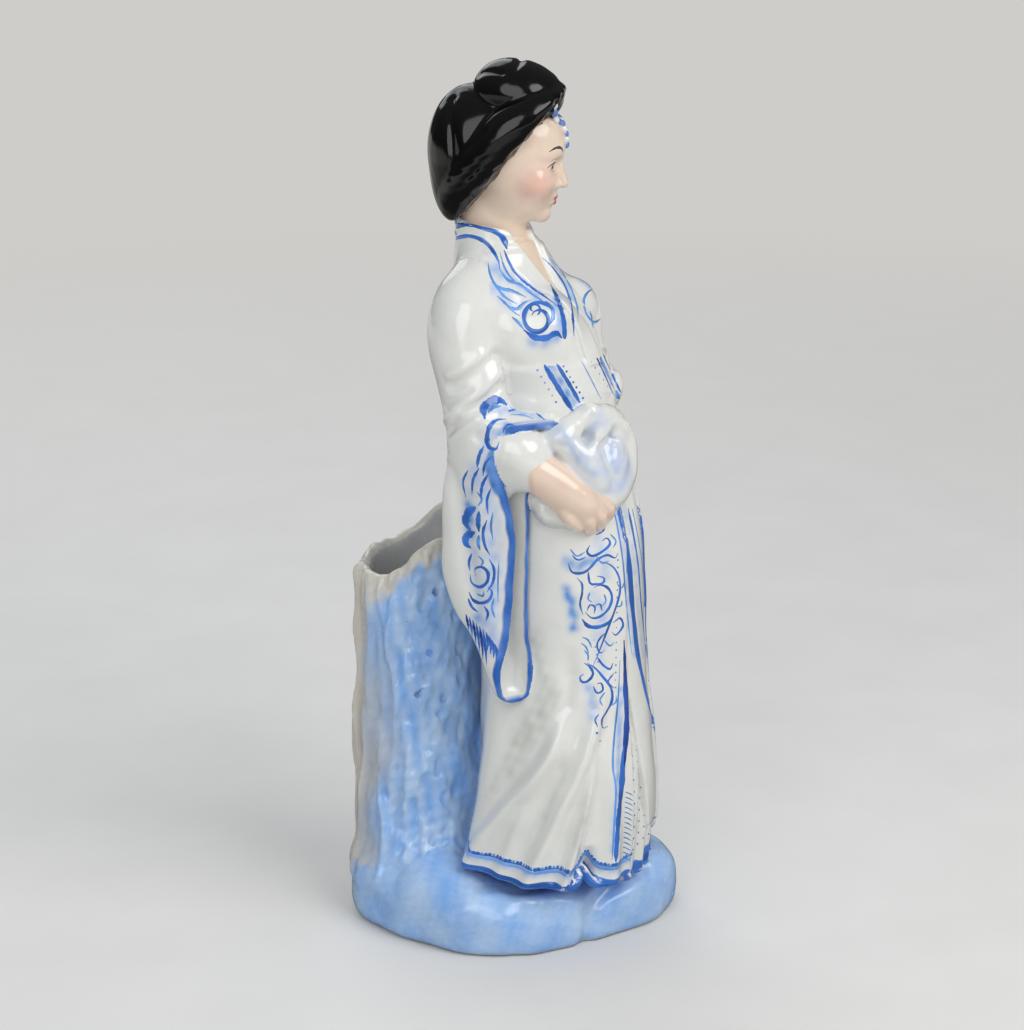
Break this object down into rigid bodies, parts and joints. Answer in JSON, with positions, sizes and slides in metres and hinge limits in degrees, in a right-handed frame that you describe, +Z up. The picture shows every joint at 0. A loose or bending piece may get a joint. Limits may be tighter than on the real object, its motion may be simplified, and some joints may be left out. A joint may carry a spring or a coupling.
{
  "type": "figural spill vase",
  "caption": "Porcelain spill vase: a robed standing figure in front of a hollow tree stump on a mound base; the open stump holds spills or flowers.",
  "frame": {"origin": "on the ground under the middle of the base", "axes": "+Z up; the figure faces -Y, with the stump behind it towards +Y; her right side is -X"},
  "size_m": [0.0684, 0.0816, 0.22],
  "materials": {
    "white_glaze": "gloss glaze, off-white, with painted blue bands and scrolls",
    "blue_wash_glaze": "gloss glaze over an uneven light blue wash",
    "flesh_glaze": "gloss glaze over pale flesh colour",
    "black_glaze": "deep gloss black"
  },
  "bodies": {
    "root": {"base_mound": "blue_wash_glaze", "stump_spill_holder": "blue_wash_glaze", "robe_skirt": "white_glaze", "underskirt_panel": "white_glaze", "robe_bodice": "white_glaze", "waist_sash": "white_glaze", "robe_collar": "white_glaze", "lapel_right": "white_glaze", "lapel_left": "white_glaze", "head_and_neck": "flesh_glaze", "hair_back_bun": "black_glaze", "hair_topknot": "black_glaze", "hair_front_roll": "black_glaze", "hair_ornament": "white_glaze", "gathered_cloth": "white_glaze", "sleeve_right": "white_glaze", "cuff_right": "white_glaze", "hand_right": "flesh_glaze", "sleeve_left": "white_glaze", "cuff_left": "white_glaze", "hand_left": "flesh_glaze"}
  },
  "joints": []
}
